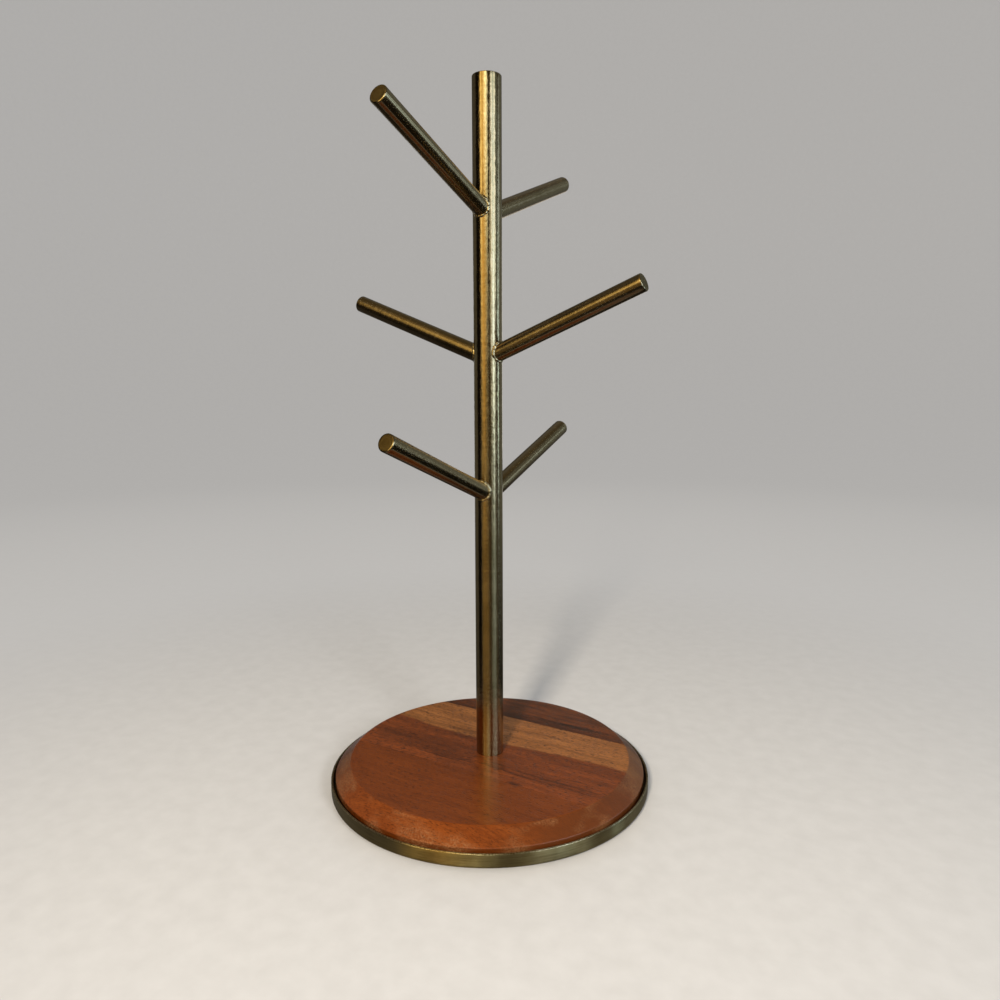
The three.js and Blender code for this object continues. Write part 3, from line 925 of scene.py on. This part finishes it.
def weld(name, matrix, number):
    """A hand-laid weld bead round the arm's root: overlapping ripples of uneven size."""
    sides, steps = 12, 132
    step = 2 * math.pi / steps
    draw = random.Random(number)
    ripples = 15 + draw.randrange(5)
    rings = []
    for i in range(steps):
        angle = i * step
        centre = seam_point(angle)
        forward = (seam_point(angle + step) - seam_point(angle - step)).normalized()
        out_of_post = Vector((centre.x, centre.y, 0)).normalized()
        side = out_of_post.cross(forward).normalized()
        out = forward.cross(side)
        ripple = abs(math.sin(angle * ripples / 2 + 0.9 * math.sin(3 * angle + number)))
        slow = noise.noise(Vector((2.2 * math.cos(angle), 2.2 * math.sin(angle), 9.0 * number)))
        radius = WELD_RADIUS * (0.78 + 0.18 * math.sin(angle) + 0.07 * ripple + 0.30 * slow)
        centre -= out * WELD_SUNK
        ring = []
        for j in range(sides):
            turn = 2 * math.pi * j / sides
            p = centre + out * radius * math.cos(turn) + side * radius * math.sin(turn)
            lump = noise.noise(p / WELD_LUMP_WIDTH + Vector((number * 5.0, 0, 0)))
            ring.append(p + (p - centre).normalized() * lump * WELD_LUMP)
        rings.append(ring)
    brush = [p / MM + Vector((13.0 * number, 0, 0)) for ring in rings for p in ring]
    mesh = skin(name, [[matrix @ p for p in ring] for ring in rings], True, brush=brush)
    place("bead_" + name, mesh, [WELD], "weld_" + name, sharp_degrees=80)


def arms():
    """Three tiers of two opposite arms, each tier turned a quarter from the next."""
    along_x = (("right", 0), ("left", 180))
    along_y = (("back", 90), ("front", -90))
    tiers = (("lower", along_y), ("middle", along_x), ("upper", along_y))
    number = 0
    for tier, (tier_name, sides) in enumerate(tiers):
        for side_name, degrees in sides:
            number += 1
            matrix = to_place(tier, degrees)
            arm(f"{tier_name}_{side_name}", matrix, number)
            weld(f"{tier_name}_{side_name}", matrix, number)


# ---------------------------------------------------------------- the object

dish()
stave("front", None, FRONT_JOINT, WOOD_FRONT)
stave("centre", FRONT_JOINT, BACK_JOINT, WOOD_CENTRE, with_hole=True)
stave("back", BACK_JOINT, None, WOOD_BACK)
foot_pads()
clamp_bolt()
washers()
post()
arms()

# ---------------------------------------------------------------- floor and backdrop

NEAR_FLOOR_RADIUS = 0.135
FLOOR_SUBDUED = 0.72  # how much darker the floor looks where the metal mirrors it
SWEEP_START = 1.6
SWEEP_RADIUS = 1.0
SWEEP_HEIGHT = 4.0
FLOOR_TONES = (0.60, 0.585, 0.565), (0.64, 0.625, 0.605)
FAR_FLOOR_GLOW = (0.54, 0.525, 0.505)
WALL_GLOW = (0.44, 0.43, 0.42)
GLOW_SHARE = 0.75  # the rest is lit, which keeps the render's denoiser from leaving grain in the rods


def floor_material():
    """Pale stone near the object. Further out it is a plain glow, so that no lamp burns it out."""
    made, g = material("floor")
    made.cycles.emission_sampling = "NONE"
    position = g.node("TexCoord").outputs["Object"]
    speckle = g.noise(position, scale=90.0, detail=3.0)
    colour = g.ramp(speckle, [(0.3, FLOOR_TONES[0]), (0.7, FLOOR_TONES[1])])
    glossy = g.node("LightPath").outputs["Is Glossy Ray"]
    colour = g.mix(g.math("MULTIPLY", glossy, FLOOR_SUBDUED), colour, (0.0, 0.0, 0.0))
    lit = g.node("BsdfPrincipled", {"Base Color": colour, "Roughness": 0.6}).outputs[0]
    radius = g.length(g.scaled(position, (1, 1, 0)))
    glow_colour = g.mix(g.band(radius, 0.6, 2.4), FAR_FLOOR_GLOW, WALL_GLOW)
    glow = g.node("Emission", {"Color": glow_colour}).outputs[0]
    far = g.band(radius, NEAR_FLOOR_RADIUS, 0.6, 0.0, GLOW_SHARE)
    g.finish(g.node("MixShader", {0: far, 1: lit, 2: glow}).outputs[0])
    return made


def studio():
    """A pale floor. Its middle shows in the metal, and the rest curves up into a plain backdrop."""
    made = floor_material()
    near = turned("floor_near", [(0, 0), (NEAR_FLOOR_RADIUS, 0)], 128, loop=False)
    outline = [(NEAR_FLOOR_RADIUS, 0), (SWEEP_START, 0)]
    outline += arc(SWEEP_START, SWEEP_RADIUS, SWEEP_RADIUS, -90, 0, 24)[1:]
    outline.append((SWEEP_START + SWEEP_RADIUS, SWEEP_HEIGHT))
    far = turned("floor_far", outline, 128, loop=False)
    for mesh in (near, far):
        mesh.materials.append(made)
        mesh.shade_smooth()
        floor = bpy.data.objects.new(mesh.name, mesh)
        bpy.context.scene.collection.objects.link(floor)
    floor.visible_glossy = False
    floor.visible_diffuse = False
    floor.visible_shadow = False


# ---------------------------------------------------------------- light

KEY_AZIMUTH, KEY_ELEVATION = CAMERA_AZIMUTH - 15.4, 26.0
FILL_AZIMUTH, FILL_ELEVATION = CAMERA_AZIMUTH + 26.0, 20.0
LIGHT_DISTANCE = 1.4
LIGHT_AIM = Vector((0, 0, 0.12))
EVEN_LIGHT = 0.55


def direction(azimuth, elevation):
    """A unit vector towards a place round the object, with angles in degrees."""
    a, e = math.radians(azimuth), math.radians(elevation)
    return Vector((math.sin(a) * math.cos(e), -math.cos(a) * math.cos(e), math.sin(e)))


def soft_light(name, azimuth, elevation, size, watts, colour):
    """A square area light that faces the object. The room's picture stands for it in the metal."""
    data = bpy.data.lights.new(name, "AREA")
    data.size = size
    data.energy = watts
    data.color = colour
    lamp = bpy.data.objects.new(name, data)
    lamp.location = LIGHT_AIM + direction(azimuth, elevation) * LIGHT_DISTANCE
    lamp.rotation_euler = (lamp.location - LIGHT_AIM).to_track_quat("Z", "Y").to_euler()
    lamp.visible_camera = False
    lamp.visible_glossy = False
    bpy.context.scene.collection.objects.link(lamp)


# What the metal and lacquer mirror. Each patch is painted over those before it: degrees from
# and to, first to the right of the camera as seen from the object and then above level, how
# gradual its upright and its level edges are, and its colour.
ROOM_PATCHES = [
    ("ceiling", -190, 190, 1, 50, 140, 14, (0.12, 0.095, 0.050)),
    ("rear wall", 150, 215, 8, 12, 30, 8, (0.055, 0.046, 0.030)),
    ("rear wall, left", -215, -150, 8, 12, 30, 8, (0.055, 0.046, 0.030)),
    ("high rear wall", 145, 215, 8, 29, 58, 4, (0.17, 0.165, 0.145)),
    ("high rear wall, left", -215, -162, 8, 29, 58, 4, (0.17, 0.165, 0.145)),
    ("right wall", 100, 150, 4, -12, 42, 8, (0.19, 0.21, 0.19)),
    ("left wall", -150, -98, 4, -8, 14, 6, (0.13, 0.125, 0.095)),
    ("dark cupboard", 82, 134, 4, -100, -15, 5, (0.008, 0.008, 0.006)),
    ("left corner", -97, -64, 3, -100, 36, 8, (0.010, 0.008, 0.006)),
    ("doorway", 3, 31, 3, -60, 60, 10, (0.075, 0.057, 0.025)),
    ("warm floor", -56, 0, 5, -34, -2, 6, (0.215, 0.143, 0.052)),
    ("cool floor", 25, 62, 4, -30, 2, 5, (0.19, 0.24, 0.23)),
    ("amber ceiling", -60, -16, 6, 30, 66, 10, (0.50, 0.33, 0.10)),
    ("amber wall", -60, -15, 4, 4, 42, 7, (0.86, 0.59, 0.19)),
    ("amber middle", -41, -26, 3, -1, 42, 8, (1.60, 0.98, 0.25)),
    ("amber edge", -26, -15, 3, 3, 42, 5, (1.30, 0.80, 0.20)),
    ("amber stripe", -53, -41, 3, 5, 34, 7, (2.75, 2.08, 0.82)),
    ("amber by the lamp", -30, -15, 3, 16, 34, 3, (3.10, 2.70, 1.40)),
    ("under the lamp", -17, -5, 2, 6, 16, 4, (1.20, 0.85, 0.30)),
    ("lamp", -18, -4, 2, 17, 34, 2, (5.20, 5.10, 3.60)),
    ("beside the lamp", -5, 5, 2, 12, 32, 3, (2.20, 2.25, 1.75)),
    ("pale panel", 17, 29, 3, 7, 15, 3, (2.00, 2.05, 1.70)),
    ("window", 29, 66, 2, 1, 28, 5, (1.50, 1.90, 2.10)),
    ("left pane", 30, 38, 1, 3, 28, 4, (3.00, 3.35, 3.65)),
    ("right pane", 55, 64, 1, 8, 28, 4, (3.00, 3.40, 3.80)),
    ("bright pane", 43, 52, 2, -4, 11, 4, (3.80, 4.90, 6.00)),
    ("curtain", 69, 82, 3, 6, 28, 5, (0.30, 0.38, 0.36)),
    ("low gleam", 85, 95, 2, -4, 8, 4, (2.10, 3.00, 3.70)),
    ("high gleam", 95, 108, 2, 9, 17, 3, (1.05, 1.35, 1.60)),
    ("rear panel", 160, 179, 3, -8, 10, 5, (1.10, 1.05, 0.95)),
    ("rear gleam", -166, -158, 2, -8, 10, 5, (0.80, 0.85, 0.90)),
]
ROOM_REST = (0.10, 0.095, 0.08)
ROOM_BELOW = (0.03, 0.025, 0.02)


def room():
    """An even soft light all round, and a darker room with a lamp and a window to mirror."""
    world = bpy.data.worlds.new("room")
    bpy.context.scene.world = world
    world.use_nodes = True
    world.cycles.sampling_method = "NONE"
    g = Graph(world.node_tree)
    towards = g.node("TexCoord").outputs["Generated"]
    x, y, z = g.split(towards)
    turn = g.math("ARCTAN2", x, g.math("MULTIPLY", y, -1.0))
    turn = g.math("SUBTRACT", g.math("MULTIPLY", turn, 180 / math.pi), CAMERA_AZIMUTH)
    azimuth = g.math("WRAP", turn, 180.0)
    azimuth.node.inputs[2].default_value = -180.0
    elevation = g.math("MULTIPLY", g.math("ARCSINE", z), 180 / math.pi)
    colour = g.mix(g.band(elevation, -34, -12), ROOM_BELOW, ROOM_REST)
    for _, left, right, upright_soft, low, high, level_soft, shade in ROOM_PATCHES:
        mask = within(g, azimuth, left, right, upright_soft)
        mask = g.math("MULTIPLY", mask, within(g, elevation, low, high, level_soft))
        colour = g.mix(mask, colour, shade)
    mirrored = g.node("Background", {"Color": colour, "Strength": 1.0})
    even = g.node("Background", {"Color": (0.82, 0.82, 0.82, 1), "Strength": EVEN_LIGHT})
    glossy = g.node("LightPath").outputs["Is Glossy Ray"]
    surface = g.node("MixShader", {0: glossy, 1: even.outputs[0], 2: mirrored.outputs[0]}).outputs[0]
    g.finish(surface, "OutputWorld")


def within(g, value, low, high, soft):
    """1 where value lies between low and high, with edges that fade over twice soft."""
    rising = g.band(value, low - soft, low + soft)
    falling = g.band(value, high + soft, high - soft)
    return g.math("MULTIPLY", rising, falling)


def camera():
    """The photograph's viewing angle, a little above the middle of the object."""
    data = bpy.data.cameras.new("camera")
    data.lens = CAMERA_LENS
    data.sensor_width = 36
    data.clip_start = 0.01
    viewer = bpy.data.objects.new("camera", data)
    viewer.matrix_world = (
        Matrix.Translation(direction(CAMERA_AZIMUTH, 0) * CAMERA_DISTANCE + Vector((0, 0, CAMERA_HEIGHT)))
        @ Matrix.Rotation(math.radians(CAMERA_HEADING), 4, "Z")
        @ Matrix.Rotation(math.radians(90 + CAMERA_PITCH), 4, "X")
        @ Matrix.Rotation(math.radians(CAMERA_ROLL), 4, "Z")
    )
    bpy.context.scene.collection.objects.link(viewer)
    bpy.context.scene.camera = viewer


studio()
room()
soft_light("key", KEY_AZIMUTH, KEY_ELEVATION, size=0.16, watts=22.0, colour=(1.0, 0.90, 0.76))
soft_light("fill", FILL_AZIMUTH, FILL_ELEVATION, size=0.30, watts=9.0, colour=(0.96, 0.98, 1.0))
camera()
bpy.context.scene.view_settings.view_transform = "Standard"
